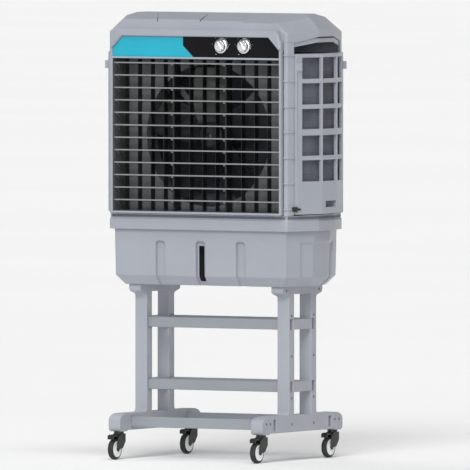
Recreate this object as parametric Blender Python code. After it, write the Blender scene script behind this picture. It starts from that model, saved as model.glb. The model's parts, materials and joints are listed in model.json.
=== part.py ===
"""A large evaporative cooler on a wheeled stand: water tank, housing, louvres, fan, pads and four casters.

Metres, +Z up. The cooler faces -Y. The origin is on the floor, at the centre of the bounding box.
"""

import math

import bmesh
import bpy
from mathutils import Matrix, Vector

MM = 0.001
GAP = 0.3 * MM

# Casters
WHEEL_R = 37.5 * MM
WHEEL_WIDTH = 22 * MM
CASTER_TRAIL = 29 * MM
CASTER_TOP = 99.7 * MM
SWIVEL_X = 294 * MM
SWIVEL_Y = 257 * MM
AXLE_R = 3.9 * MM

# Stand
FRAME_INNER_X = 270 * MM
FRAME_OUTER_X = 319 * MM
FOOT_HALF = 289 * MM
FOOT_BOTTOM = 104 * MM
FOOT_PAD = 100 * MM
FOOT_TOP = 165 * MM
LEG_FRONT = 98.5 * MM
LEG_BACK = 61 * MM
CAP_HALF = 143 * MM
CAP_TOP = 625 * MM
BAR_THICK = 18 * MM
BAR_HEIGHT = 37.5 * MM
BAR_END_X = 306 * MM
LEG_BAR_Y = 79 * MM
FOOT_BAR_Y = 198 * MM
BAR_LEVELS = {"upper": 488.7 * MM, "middle": 265.2 * MM, "lower": 133.2 * MM}

# Plan of the housing: eight sides, with a three-sided bow on the left and on the right
BODY_X = 367 * MM
BODY_Y = 199 * MM
BOW_X = 417 * MM
BOW_Y = 56.4 * MM
CORNER_R = 12 * MM
CORNER_TURN = 70.7
BAND_BOTTOM = 825 * MM
BAND_TOP = 862 * MM
COLUMN_TOP = 1499.7 * MM
RIB_FIRST = 904 * MM
RIB_PITCH = 91.7 * MM
RIB_COUNT = 7
BEAM_TOP = 1515 * MM
REAR_COLUMNS = 6
REAR_PITCH = 110 * MM
REAR_WINDOW = 94 * MM

# Water tank
TANK_X = 354 * MM
TANK_Y = 184 * MM
TANK_BOW = (46 * MM, 127 * MM)
TANK_BOTTOM = CAP_TOP + GAP
TANK_TOP = 860 * MM
TANK_WALL = 4 * MM
CHANNEL_PITCH = 166 * MM
CHANNEL_HALF = 20 * MM
CHANNEL_DEPTH = 13 * MM

# Front frame, louvres and control panel
FRONT_Y = -217 * MM
FRAME_X = 352 * MM
FRAME_BOTTOM = 883 * MM
FRAME_TOP = 1543 * MM
DUCT_X = 344 * MM
DUCT_BOTTOM = 890 * MM
DUCT_TOP = 1438 * MM
DUCT_BACK = -127 * MM
PANEL_BOTTOM = 1445 * MM
PANEL_TOP = 1518 * MM
PANEL_CHAMFER = 42 * MM
PANEL_FACE = -212 * MM
POCKET_BACK = -204 * MM
STAY_X = 108 * MM
SLAT_COUNT = 12
SLAT_PITCH = 44.7 * MM
SLAT_TOP = 1422 * MM
SLAT_Y = -189 * MM
SLAT_HALF_DEPTH = 20 * MM
VANE_COUNT = 13
VANE_PITCH = 53.5 * MM
VANE_Y = -152 * MM
VANE_HALF_DEPTH = 13 * MM
KNOB_X = {"speed_knob": 103 * MM, "cooling_knob": 197 * MM}
KNOB_Z = 1486 * MM
KNOB_R = 26 * MM
KNOB_TURN = math.radians(-35)

# Fan and its shroud
FAN_Z = 1162 * MM
SHROUD_Y = -124 * MM
SHROUD_BACK = -48 * MM
SHROUD_R = 255 * MM
FAN_R = 244 * MM
FAN_Y = -92 * MM
HUB_R = 48 * MM
BLADES = 5

# Side grilles and pads
GRILLE_X = 430 * MM
GRILLE_Y = 54 * MM
GRILLE_END = (391 * MM, 165.5 * MM)
GRILLE_THICK = 11 * MM
GRILLE_BOTTOM = 886 * MM
GRILLE_TOP = 1460 * MM
WINDOW_ROWS = 5
LUG_REACH = 15 * MM
PAD_TOP = 1457 * MM

# The stand's middle lies behind the origin, because the casters trail forward past the feet.
MIDDLE_Y = (SWIVEL_Y + CASTER_TRAIL + WHEEL_R - FOOT_HALF) / 2
MIDDLE = Vector((0, MIDDLE_Y, 0))
CORNERS = {"front_left": (-1, -1), "front_right": (1, -1), "rear_left": (-1, 1), "rear_right": (1, 1)}


def material(name, colour, roughness, metallic=0.0):
    made = bpy.data.materials.new(name)
    made.use_nodes = True
    shader = made.node_tree.nodes["Principled BSDF"]
    shader.inputs["Base Color"].default_value = (*colour, 1)
    shader.inputs["Roughness"].default_value = roughness
    shader.inputs["Metallic"].default_value = metallic
    made.diffuse_color = (*colour, 1)
    return made


def finish_object(name, bm, finish, at=(0, 0, 0), smooth=False):
    """The object made of this bmesh, with its origin at a point of the cooler's own frame."""
    bmesh.ops.recalc_face_normals(bm, faces=bm.faces[:])
    mesh = bpy.data.meshes.new(name)
    bm.to_mesh(mesh)
    bm.free()
    mesh.materials.append(finish)
    obj = bpy.data.objects.new(name, mesh)
    bpy.context.scene.collection.objects.link(obj)
    obj.location = MIDDLE + Vector(at)
    if smooth:
        mesh.shade_smooth()
        mesh.set_sharp_from_angle(angle=math.radians(35))
    return obj


def helper(name, bm, at=(0, 0, 0)):
    """A cutter, or a piece that a Boolean joins to another."""
    obj = finish_object(name, bm, finishes["helper"], at)
    obj.hide_render = True
    obj.display_type = "WIRE"
    return obj


def boolean(obj, other, operation):
    modifier = obj.modifiers.new(other.name, "BOOLEAN")
    modifier.object = other
    modifier.operation = operation
    modifier.solver = "EXACT"


def loft(bm, rings):
    """Joins rings of equal length with sides, and caps both ends."""
    made = [[bm.verts.new(point) for point in ring] for ring in rings]
    count = len(made[0])
    for low, high in zip(made, made[1:]):
        for i in range(count):
            bm.faces.new((low[i], low[(i + 1) % count], high[(i + 1) % count], high[i]))
    bm.faces.new(made[0])
    bm.faces.new(made[-1][::-1])
    return bm


def prism(bm, outline, low, high, axis):
    """Extrudes an outline along an axis. Its two numbers are the other two axes, in X, Y, Z order."""
    order = {"X": (2, 0, 1), "Y": (0, 2, 1), "Z": (0, 1, 2)}[axis]
    rings = []
    for level in (low, high):
        rings.append([tuple((*point, level)[i] for i in order) for point in outline])
    return loft(bm, rings)


def box(bm, low, high):
    outline = [(low[0], low[1]), (high[0], low[1]), (high[0], high[1]), (low[0], high[1])]
    return prism(bm, outline, low[2], high[2], "Z")


def circle(radius, count, centre=(0, 0)):
    points = []
    for i in range(count):
        angle = 2 * math.pi * i / count
        points.append((centre[0] + radius * math.cos(angle), centre[1] + radius * math.sin(angle)))
    return points


def arc(centre, radii, first, last, count):
    """Points on a quarter of an ellipse or circle, angles in degrees."""
    points = []
    for i in range(count + 1):
        angle = math.radians(first + (last - first) * i / count)
        points.append((centre[0] + radii[0] * math.cos(angle), centre[1] + radii[1] * math.sin(angle)))
    return points


def turned(bm, profile, count, axis):
    """A solid of revolution with a bore: a closed profile of (along the axis, radius) pairs."""
    rings = []
    for i in range(count):
        angle = 2 * math.pi * i / count
        side, up = math.cos(angle), math.sin(angle)
        if axis == "X":
            rings.append([bm.verts.new((a, r * side, r * up)) for a, r in profile])
        else:
            rings.append([bm.verts.new((r * side, a, r * up)) for a, r in profile])
    size = len(profile)
    for i in range(count):
        here, there = rings[i], rings[(i + 1) % count]
        for j in range(size):
            bm.faces.new((here[j], there[j], there[(j + 1) % size], here[(j + 1) % size]))
    return bm


def hull(bm, points):
    for point in points:
        bm.verts.new(point)
    found = bmesh.ops.convex_hull(bm, input=bm.verts[:])
    unused = [v for v in found["geom_interior"] if isinstance(v, bmesh.types.BMVert)]
    bmesh.ops.delete(bm, geom=unused, context="VERTS")
    bmesh.ops.dissolve_limit(bm, angle_limit=math.radians(0.5), verts=bm.verts[:], edges=bm.edges[:])
    return bm


def mirrored(points):
    """The outline on both sides of its first axis, from the half that lies on the positive side."""
    return points + [(-a, b) for a, b in reversed(points)]


def plan_corner(inset):
    """The rounded corner between the rear face and the bow on the right, moved inwards by an inset."""
    radius = max(CORNER_R - inset, 1.5 * MM)
    tangent = radius * math.tan(math.radians(CORNER_TURN / 2))
    centre = (BODY_X - 0.71 * inset - tangent, BODY_Y - inset - radius)
    return arc(centre, (radius, radius), 90 - CORNER_TURN, 90, 3)


def octagon(inset=0.0, z=0.0):
    """The housing's plan, moved inwards by an inset."""
    bow = (BOW_X - inset, BOW_Y - 0.17 * inset)
    corner = plan_corner(inset)
    right = [(x, -y) for x, y in reversed(corner)] + [(bow[0], -bow[1]), bow] + corner
    left = [(-x, -y) for x, y in right]
    return [(x, y, z) for x, y in right + left]


# ---- stand ----


def side_frame_outline():
    foot = [(232 * MM, FOOT_BOTTOM), (236 * MM, FOOT_PAD)]
    foot += arc((275 * MM, 114 * MM), (14 * MM, 14 * MM), -90, 0, 3)
    foot += arc((239 * MM, 141 * MM), (50 * MM, 24 * MM), 0, 90, 5)
    leg = [(107 * MM, FOOT_TOP), (100.5 * MM, 172 * MM), (LEG_FRONT, 185 * MM)]
    leg += [(LEG_FRONT, 583 * MM), (104 * MM, 590 * MM)]
    cap = arc((129 * MM, 611 * MM), (14 * MM, 14 * MM), -90, 0, 3) + [(CAP_HALF, CAP_TOP)]
    return mirrored(foot + leg + cap)


def bar_centres():
    """(name, height, Y) of each crossbar."""
    found = []
    for level, z in BAR_LEVELS.items():
        y = FOOT_BAR_Y if level == "lower" else LEG_BAR_Y
        found += [(f"{level}_crossbar_front", z, -y), (f"{level}_crossbar_rear", z, y)]
    return found


def side_frame(name, side):
    low, high = sorted((side * FRAME_INNER_X, side * FRAME_OUTER_X))
    obj = finish_object(name, prism(bmesh.new(), side_frame_outline(), low, high, "X"), finishes["shell"])
    half = BAR_HEIGHT / 2
    levels = [BAR_LEVELS["middle"], BAR_LEVELS["upper"]]
    windows = [
        (FOOT_TOP, levels[0] - half),
        (levels[0] + half, levels[1] - half),
        (levels[1] + half, 597 * MM),
    ]
    cuts = bmesh.new()
    for bottom, top in windows:
        box(cuts, (low - MM, -LEG_BACK, bottom), (high + MM, LEG_BACK, top))
    slot_y, slot_z = BAR_THICK / 2 + 0.5 * MM, half + 0.5 * MM
    for _, z, y in bar_centres():
        box(cuts, (low - MM, y - slot_y, z - slot_z), (high + MM, y + slot_y, z + slot_z))
    boolean(obj, helper(name + "_cuts", cuts), "DIFFERENCE")
    return obj


def crossbar(name, z, y):
    corner = Vector((BAR_END_X, BAR_THICK / 2, BAR_HEIGHT / 2))
    bm = box(bmesh.new(), -corner, corner)
    obj = finish_object(name, bm, finishes["shell"], (0, y, z))
    bevel = obj.modifiers.new("edges", "BEVEL")
    bevel.width = 2.5 * MM
    bevel.segments = 2
    return obj


# ---- casters ----


def caster_fork(name, x, y):
    """The swivelling fork, with its bearing race on top and its axle. Its origin is on the swivel axis."""
    arm = [(-14, 92), (22, 92), (22, 64), (3, 40)]
    arm = [(a * MM, b * MM) for a, b in arm]
    arm += arc((-CASTER_TRAIL, WHEEL_R), (9 * MM, 9 * MM), -10, -190, 6)
    arm += [(-30 * MM, 80 * MM)]
    inner, outer = WHEEL_WIDTH / 2 + 2 * MM, WHEEL_WIDTH / 2 + 5 * MM
    obj = finish_object(name, prism(bmesh.new(), arm, -outer, -inner, "X"), finishes["black"], (x, y, 0))
    rest = prism(bmesh.new(), arm, inner, outer, "X")
    boolean(obj, helper(name + "_arm", rest, (x, y, 0)), "UNION")
    crown = box(bmesh.new(), (-outer + MM, -12 * MM, 80 * MM), (outer - MM, 21 * MM, 91 * MM))
    boolean(obj, helper(name + "_crown", crown, (x, y, 0)), "UNION")
    web = box(bmesh.new(), (-outer + MM, 18 * MM, 65 * MM), (outer - MM, 21.5 * MM, 90 * MM))
    boolean(obj, helper(name + "_web", web, (x, y, 0)), "UNION")
    race = prism(bmesh.new(), circle(18 * MM, 20), 90 * MM, CASTER_TOP, "Z")
    boolean(obj, helper(name + "_race", race, (x, y, 0)), "UNION")
    axle = prism(bmesh.new(), circle(AXLE_R, 16, (-CASTER_TRAIL, WHEEL_R)), -outer - MM, outer + MM, "X")
    boolean(obj, helper(name + "_axle", axle, (x, y, 0)), "UNION")
    return obj


def caster_wheel(name, x, y):
    """Rubber tread moulded on a nylon core, one piece, with dished faces. Its origin is on the axle."""
    half = WHEEL_WIDTH / 2
    side = [(half - 1.0 * MM, 4.2 * MM), (half - 1.0 * MM, 10 * MM), (half - 5 * MM, 12 * MM)]
    side += [(half - 5 * MM, 25 * MM), (half - 1.5 * MM, 27.5 * MM), (half - 0.5 * MM, 30 * MM)]
    side += [(half - 2 * MM, 35 * MM), (half - 6 * MM, WHEEL_R)]
    profile = side + [(-a, r) for a, r in reversed(side)]
    bm = turned(bmesh.new(), profile, 32, "X")
    return finish_object(name, bm, finishes["tyre"], (x, y - CASTER_TRAIL, WHEEL_R), smooth=True)


def caster_brake(name, x, y):
    """The foot pedal over the wheel. Its origin is on its pivot, at the front of the fork's crown."""
    outline = [(-1, -4.5), (-1, 2), (-22, 4), (-46, 2), (-47, -12), (-42, -12), (-40, -3), (-20, -2)]
    outline = [(a * MM, b * MM) for a, b in outline]
    bm = prism(bmesh.new(), outline, -12 * MM, 12 * MM, "X")
    return finish_object(name, bm, finishes["black"], (x, y - 14 * MM, 85 * MM))


# ---- water tank ----


def tank_ring(half_x, half_y, channel, recess, spread, z):
    """One level of the tank: three upright channels in front, and a shallow recess round each side."""
    front = [(-half_x, -half_y)]
    for i in (-1, 0, 1):
        middle, half = i * CHANNEL_PITCH, CHANNEL_HALF + spread
        for across, depth in ((-half, 0), (3 * MM - half, channel), (half - 3 * MM, channel), (half, 0)):
            front.append((middle + across, -half_y + depth))
    front.append((half_x, -half_y))
    bow_x, bow_y = TANK_BOW
    part = 0.526 - 2 * spread / bow_y
    edge = (half_x + bow_x * part, half_y - bow_y * part)
    inner = (edge[0] - recess, edge[1])
    bow = (half_x + bow_x - recess, half_y - bow_y)
    side = [(edge[0], -edge[1]), (inner[0], -inner[1] + recess), (bow[0], -bow[1])]
    side += [bow, (inner[0], inner[1] - recess), edge, (half_x, half_y)]
    left = [(-x, y) for x, y in reversed(side)]
    return [(x, y, z) for x, y in front + side + left]


def water_tank():
    levels = [
        (325 * MM, 155 * MM, CHANNEL_DEPTH, 6 * MM, TANK_BOTTOM),
        (351 * MM, 181 * MM, CHANNEL_DEPTH, 6 * MM, 659 * MM),
        (353 * MM, 183 * MM, CHANNEL_DEPTH, 6 * MM, 776 * MM),
        (353 * MM, 183 * MM, 0, 0, 786 * MM),
        (TANK_X, TANK_Y, 0, 0, TANK_TOP),
    ]
    bm = bmesh.new()
    outer, inner = [], []
    for x, y, channel, recess, z in levels:
        outer.append([bm.verts.new(p) for p in tank_ring(x, y, channel, recess, 0, z)])
        lift = TANK_WALL if z == TANK_BOTTOM else 0
        ring = tank_ring(x - TANK_WALL, y - TANK_WALL, channel, recess, TANK_WALL, z + lift)
        inner.append([bm.verts.new(p) for p in ring])
    count = len(outer[0])
    walls = list(zip(outer, outer[1:])) + list(zip(inner, inner[1:])) + [(outer[-1], inner[-1])]
    for low, high in walls:
        for i in range(count):
            bm.faces.new((low[i], low[(i + 1) % count], high[(i + 1) % count], high[i]))
    bm.faces.new(outer[0])
    bm.faces.new(inner[0])
    return finish_object("water_tank", bm, finishes["shell"])


# ---- housing ----


def housing_rings():
    rings = [(0, BAND_BOTTOM), (0, BAND_TOP), (4 * MM, BAND_TOP + 5 * MM), (4 * MM, 879 * MM), (0, 882 * MM)]
    for i in range(RIB_COUNT):
        z = RIB_FIRST + i * RIB_PITCH
        rings += [(0, z - 4 * MM), (-2.5 * MM, z - 2 * MM), (-2.5 * MM, z + 2 * MM), (0, z + 4 * MM)]
    return rings + [(0, COLUMN_TOP)]


def bar_height(i):
    """Half the height of the grille bar at rib i: the middle one, where two halves meet, is taller."""
    return 11.5 * MM if i == RIB_COUNT // 2 else 8 * MM


def window_rows():
    """(bottom, top) of each row of grille windows, the rows between one rib and the next."""
    rows = []
    for i in range(1, 1 + WINDOW_ROWS):
        low = RIB_FIRST + i * RIB_PITCH
        rows.append((low + bar_height(i), low + RIB_PITCH - bar_height(i + 1)))
    return rows


def main_housing():
    outer = loft(bmesh.new(), [octagon(inset, z) for inset, z in housing_rings()])
    obj = finish_object("main_housing", outer, finishes["shell"])
    hollow = loft(bmesh.new(), [octagon(8 * MM, BAND_BOTTOM - MM), octagon(8 * MM, COLUMN_TOP + MM)])
    boolean(obj, helper("housing_hollow", hollow), "DIFFERENCE")
    side_y = GRILLE_END[1] + 0.5 * MM
    cuts = bmesh.new()
    front_x = FRAME_X + 1.5 * MM
    box(cuts, (-front_x, -260 * MM, FRAME_BOTTOM - 1.5 * MM), (front_x, -150 * MM, 1600 * MM))
    for side in (-1, 1):
        low, high = sorted((side * 362 * MM, side * 450 * MM))
        box(cuts, (low, -side_y, FRAME_BOTTOM), (high, side_y, 1600 * MM))
    for bottom, top in window_rows():
        for i in range(REAR_COLUMNS):
            x = (i - (REAR_COLUMNS - 1) / 2) * REAR_PITCH
            low, high = x - REAR_WINDOW / 2, x + REAR_WINDOW / 2
            box(cuts, (low, 150 * MM, bottom), (high, 260 * MM, top))
    boolean(obj, helper("housing_openings", cuts), "DIFFERENCE")
    deck = loft(bmesh.new(), [octagon(5 * MM, 868 * MM), octagon(5 * MM, 872 * MM)])
    deck_piece = helper("housing_deck", deck)
    well = box(bmesh.new(), (-290 * MM, -110 * MM, 860 * MM), (290 * MM, 130 * MM, 880 * MM))
    boolean(deck_piece, helper("housing_deck_well", well), "DIFFERENCE")
    boolean(obj, deck_piece, "UNION")
    beam = loft(bmesh.new(), [octagon(5 * MM, 1470 * MM), octagon(5 * MM, BEAM_TOP)])
    beam_piece = helper("housing_beam", beam)
    inside = loft(bmesh.new(), [octagon(12 * MM, 1460 * MM), octagon(12 * MM, 1530 * MM)])
    boolean(beam_piece, helper("housing_beam_inside", inside), "DIFFERENCE")
    arch = [(side_y, 1450 * MM), (side_y, 1483 * MM), (BOW_Y, 1499 * MM)]
    arch_cut = prism(bmesh.new(), mirrored(arch), -450 * MM, 450 * MM, "X")
    boolean(beam_piece, helper("housing_beam_arch", arch_cut), "DIFFERENCE")
    boolean(obj, beam_piece, "UNION")
    return obj


def four_ways(x, y, z):
    return [(i * x, j * y, z) for i in (-1, 1) for j in (-1, 1)]


def cover_points(inset, bottom):
    """Corners of the roof: an upright skirt, a 45 degree slope, and a shallow pitch up to a flat ridge."""
    points = four_ways(BOW_X - inset, BOW_Y - 0.17 * inset, bottom)
    for x, y in plan_corner(inset):
        points += four_ways(x, y, bottom) + four_ways(x, y, 1533 * MM - inset)
    points += four_ways(BOW_X - inset, BOW_Y - 0.17 * inset, 1547 * MM - 0.5 * inset)
    points += four_ways(345 * MM - 0.71 * inset, BODY_Y - inset, 1541 * MM - inset)
    points += four_ways(322 * MM - inset, 184 * MM - inset, 1568 * MM - inset)
    points += four_ways(379 * MM - inset, 56 * MM, 1588 * MM - inset)
    return points + four_ways(345 * MM - inset, 38 * MM, 1600 * MM - inset)


def top_cover():
    obj = finish_object("top_cover", hull(bmesh.new(), cover_points(0, 1500 * MM)), finishes["shell"])
    inside = hull(bmesh.new(), cover_points(4 * MM, 1490 * MM))
    boolean(obj, helper("cover_inside", inside), "DIFFERENCE")
    arch = [(153 * MM, 1490 * MM), (153 * MM, 1501 * MM), (BOW_Y, 1519 * MM)]
    cut = prism(bmesh.new(), mirrored(arch), -450 * MM, 450 * MM, "X")
    boolean(obj, helper("cover_arch", cut), "DIFFERENCE")
    return obj


# ---- front ----


def front_frame():
    outline = [(FRAME_X, FRAME_BOTTOM), (FRAME_X, 1500 * MM), (335 * MM, FRAME_TOP)]
    bm = prism(bmesh.new(), mirrored(outline), FRONT_Y, -BODY_Y - 1.5 * MM, "Y")
    obj = finish_object("front_frame", bm, finishes["shell"])
    sleeve = box(bmesh.new(), (-350 * MM, FRONT_Y + 5 * MM, 884 * MM), (350 * MM, DUCT_BACK, 1446 * MM))
    boolean(obj, helper("frame_sleeve", sleeve), "UNION")
    opening = box(bmesh.new(), (-DUCT_X, FRONT_Y - MM, DUCT_BOTTOM), (DUCT_X, DUCT_BACK + MM, DUCT_TOP))
    boolean(obj, helper("frame_opening", opening), "DIFFERENCE")
    pocket = prism(bmesh.new(), panel_outline(0), FRONT_Y - MM, POCKET_BACK, "Y")
    boolean(obj, helper("frame_pocket", pocket), "DIFFERENCE")
    for name, x in (("stay_left", -STAY_X), ("stay_right", STAY_X)):
        low = (x - 3 * MM, -187 * MM, DUCT_BOTTOM - 3 * MM)
        high = (x + 3 * MM, -168.5 * MM, DUCT_TOP + 3 * MM)
        boolean(obj, helper(name, box(bmesh.new(), low, high)), "UNION")
    return obj


def panel_outline(inset):
    top, side = PANEL_TOP - inset, DUCT_X - inset
    bottom = PANEL_BOTTOM + inset
    right = [(side, bottom), (side, top - PANEL_CHAMFER), (side - PANEL_CHAMFER, top)]
    return mirrored(right)


def control_panel():
    bm = prism(bmesh.new(), panel_outline(0.4 * MM), PANEL_FACE, POCKET_BACK - GAP, "Y")
    return finish_object("control_panel", bm, finishes["gloss_black"])


def knob(name, x):
    """A round knob with a raised grip bar across it. Its origin is on its spindle, at the panel."""
    body = [(-1.0, KNOB_R / MM), (-4.0, KNOB_R / MM), (-5.5, 24), (-12, 22), (-14, 19)]
    rings = []
    for depth, radius in body:
        rings.append([(x2, depth * MM, z2) for x2, z2 in circle(radius * MM, 28)])
    at = (x, PANEL_FACE, KNOB_Z)
    obj = finish_object(name, loft(bmesh.new(), rings), finishes["silver"], at, smooth=True)
    bar = box(bmesh.new(), (-3.5 * MM, -20 * MM, -20 * MM), (3.5 * MM, -13 * MM, 20 * MM))
    bar.transform(Matrix.Rotation(KNOB_TURN, 4, "Y"))
    boolean(obj, helper(name + "_bar", bar, at), "UNION")
    return obj


def slat_mesh():
    """A blade that is thicker at its front edge, notched behind its axis to clear the two stays."""
    end, pin = DUCT_X - 3 * MM, DUCT_X - 0.6 * MM
    depth, start = SLAT_HALF_DEPTH, -3.5 * MM
    near, far = STAY_X - 7 * MM, STAY_X + 7 * MM
    right = [(near, depth), (near, start), (far, start), (far, depth)]
    right += [(end, depth), (end, 2 * MM), (pin, 2 * MM), (pin, -2 * MM), (end, -2 * MM), (end, -depth)]
    outline = right + [(-x, y) for x, y in reversed(right)]
    bm = bmesh.new()
    rings = []
    for side in (-1, 1):
        half = [side * (1.6 - 0.7 * y / depth) * MM for _, y in outline]
        rings.append([(x, y, h) for (x, y), h in zip(outline, half)])
    return loft(bm, rings)


def slats():
    for i in range(SLAT_COUNT):
        at = (0, SLAT_Y, SLAT_TOP - i * SLAT_PITCH)
        finish_object(f"slat_{i + 1:02d}", slat_mesh(), finishes["louvre"], at)


def vanes():
    low, high = DUCT_BOTTOM + 3 * MM, DUCT_TOP - 3 * MM
    pin = 2.4 * MM
    half = VANE_HALF_DEPTH
    right = [(half, low), (half, high), (2 * MM, high), (2 * MM, high + pin)]
    left = [(-y, z) for y, z in reversed(right)]
    bottom = [(-2 * MM, low), (-2 * MM, low - pin), (2 * MM, low - pin), (2 * MM, low)]
    outline = right + left + bottom
    for i in range(VANE_COUNT):
        x = (i - (VANE_COUNT - 1) / 2) * VANE_PITCH
        bm = prism(bmesh.new(), outline, -1.2 * MM, 1.2 * MM, "X")
        finish_object(f"vane_{i + 1:02d}", bm, finishes["black"], (x, VANE_Y, 0))


# ---- fan ----


def fan_shroud():
    """The plate behind the vanes, with a rolled ring round the fan."""
    bm = box(bmesh.new(), (-350 * MM, SHROUD_Y, 884 * MM), (350 * MM, SHROUD_Y + 3 * MM, 1446 * MM))
    obj = finish_object("fan_shroud", bm, finishes["dark"])
    ring = prism(bmesh.new(), circle(SHROUD_R + 4 * MM, 48, (0, FAN_Z)), SHROUD_Y + MM, SHROUD_BACK, "Y")
    boolean(obj, helper("shroud_ring", ring), "UNION")
    hole = prism(bmesh.new(), circle(SHROUD_R, 48, (0, FAN_Z)), SHROUD_Y - MM, SHROUD_BACK + MM, "Y")
    boolean(obj, helper("shroud_hole", hole), "DIFFERENCE")
    return obj


def blade_rings():
    """Sections of one blade from root to tip: the chord widens and the pitch eases off."""
    rings = []
    steps = 5
    for i in range(steps + 1):
        part = i / steps
        radius = HUB_R - 6 * MM + (FAN_R - HUB_R + 6 * MM) * part
        chord = (70 + 75 * math.sin(math.pi * (0.15 + 0.6 * part))) * MM
        pitch = math.radians(38 - 18 * part)
        ring = []
        for along, up in ((-0.5, 0), (-0.15, 0.035), (0.5, 0), (-0.15, -0.008)):
            across = along * chord
            lift = up * chord + 1.2 * MM * (1 if up > 0 else -1)
            y = across * math.sin(pitch) + lift * math.cos(pitch)
            x = across * math.cos(pitch) - lift * math.sin(pitch)
            ring.append((x, y, radius))
        rings.append(ring)
    return rings


def fan():
    """Five pitched blades on a hub. Its origin is on the motor's shaft."""
    bore, front, back = 9 * MM, -24 * MM, 24 * MM
    profile = [(front, bore), (front, 40 * MM), (-18 * MM, HUB_R), (back, HUB_R), (back, bore)]
    at = (0, FAN_Y, FAN_Z)
    obj = finish_object("fan", turned(bmesh.new(), profile, 30, "Y"), finishes["black"], at, smooth=True)
    for i in range(BLADES):
        blade = loft(bmesh.new(), blade_rings())
        blade.transform(Matrix.Rotation(2 * math.pi * i / BLADES, 4, "Y"))
        boolean(obj, helper(f"fan_blade_{i + 1}", blade, at), "UNION")
    return obj


def fan_motor():
    """The motor, its shaft, and the four arms that carry it on the shroud's ring."""
    at = (0, 0, FAN_Z)
    body = [(-46, 8), (-44, 42), (-34, 58), (40, 58), (50, 50), (56, 20)]
    rings = [[(x, depth * MM, z) for x, z in circle(radius * MM, 28)] for depth, radius in body]
    obj = finish_object("fan_motor", loft(bmesh.new(), rings), finishes["motor"], at, smooth=True)
    shaft = prism(bmesh.new(), circle(8 * MM, 16), -110 * MM, -40 * MM, "Y")
    boolean(obj, helper("motor_shaft", shaft, at), "UNION")
    reach = SHROUD_R + 2 * MM
    for i, angle in enumerate((45, 135)):
        low = (-11 * MM, SHROUD_BACK + MM, -reach)
        high = (11 * MM, SHROUD_BACK + 5 * MM, reach)
        arm = box(bmesh.new(), low, high)
        arm.transform(Matrix.Rotation(math.radians(angle), 4, "Y"))
        boolean(obj, helper(f"motor_arm_{i + 1}", arm, at), "UNION")
    return obj


# ---- sides ----


def bow_outline(inset, end_trim=0.0):
    """Half-plan of a side grille's outer face, moved inwards: end, bow, bow, end."""
    end_x, end_y = GRILLE_END
    end = (end_x - inset + 0.35 * end_trim, end_y - end_trim)
    bow = (GRILLE_X - inset, GRILLE_Y - 0.17 * inset)
    return [(end[0], -end[1]), (bow[0], -bow[1]), bow, end]


def bow_prism(bm, outer, inner, low, high, side, end_trim=0.0):
    front = bow_outline(outer, end_trim)
    back = bow_outline(inner, end_trim)
    outline = [(side * x, y) for x, y in front + back[::-1]]
    return prism(bm, outline, low, high, "Z")


def window_cutter(bm, start, stop, bottom, top, side):
    """A through cut between two points of the grille's outer plan."""
    direction = Vector((stop[0] - start[0], stop[1] - start[1])).normalized()
    across = Vector((direction.y, -direction.x)) * 30 * MM
    start, stop = Vector(start), Vector(stop)
    corners = [start + across, stop + across, stop - across, start - across]
    return prism(bm, [(side * p.x, p.y) for p in corners], bottom, top, "Z")


def side_grille(name, side):
    """A bowed panel: two end posts, three columns of windows, and a solid foot with a finger pull."""
    bm = bow_prism(bmesh.new(), 0, GRILLE_THICK, GRILLE_BOTTOM, GRILLE_TOP, side)
    obj = finish_object(name, bm, finishes["shell"])
    end, bow = Vector((GRILLE_END[0], -GRILLE_END[1])), Vector((GRILLE_X, -GRILLE_Y))
    along = (bow - end).normalized()
    near, far = end + along * 24 * MM, bow - along * 7 * MM
    cuts = bmesh.new()
    for bottom, top in window_rows():
        window_cutter(cuts, near, far, bottom, top, side)
        window_cutter(cuts, (GRILLE_X, 6 * MM - GRILLE_Y), (GRILLE_X, GRILLE_Y - 6 * MM), bottom, top, side)
        window_cutter(cuts, (far.x, -far.y), (near.x, -near.y), bottom, top, side)
    boolean(obj, helper(name + "_windows", cuts), "DIFFERENCE")
    low, high = sorted((side * 392 * MM, side * 424 * MM))
    cup = box(bmesh.new(), (low, -34 * MM, 905 * MM), (high, 50 * MM, 938 * MM))
    boolean(obj, helper(name + "_cup", cup), "UNION")
    low, high = sorted((side * 396 * MM, side * 440 * MM))
    pull = box(bmesh.new(), (low, -28 * MM, 910 * MM), (high, 46 * MM, 932 * MM))
    boolean(obj, helper(name + "_pull", pull), "DIFFERENCE")
    for end, place in ((-1, "front"), (1, "rear")):
        grille_fittings(obj, f"{name}_{place}", side, end)
    return obj


def grille_fittings(obj, name, side, end):
    """At one end of a side grille: the lip that reaches in behind the column, and the lug to pull it by."""
    x_low, x_high = sorted((side * 367 * MM, side * 383 * MM))
    y_low, y_high = sorted((end * (GRILLE_END[1] - 6 * MM), end * (GRILLE_END[1] - 0.4 * MM)))
    lip = box(bmesh.new(), (x_low, y_low, GRILLE_BOTTOM + 2 * MM), (x_high, y_high, GRILLE_TOP - 2 * MM))
    boolean(obj, helper(name + "_lip", lip), "UNION")
    x_low, x_high = sorted((side * 386 * MM, side * (GRILLE_END[0] + LUG_REACH)))
    y_low, y_high = sorted((end * (GRILLE_END[1] - 12 * MM), end * (GRILLE_END[1] - 1 * MM)))
    lug = box(bmesh.new(), (x_low, y_low, 1400 * MM), (x_high, y_high, 1428 * MM))
    boolean(obj, helper(name + "_lug", lug), "UNION")


def pads():
    for name, side in (("pad_left", -1), ("pad_right", 1)):
        bm = bow_prism(bmesh.new(), 18 * MM, 48 * MM, 945 * MM, PAD_TOP, side, 24 * MM)
        finish_object(name, bm, finishes["pad"])


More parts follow.
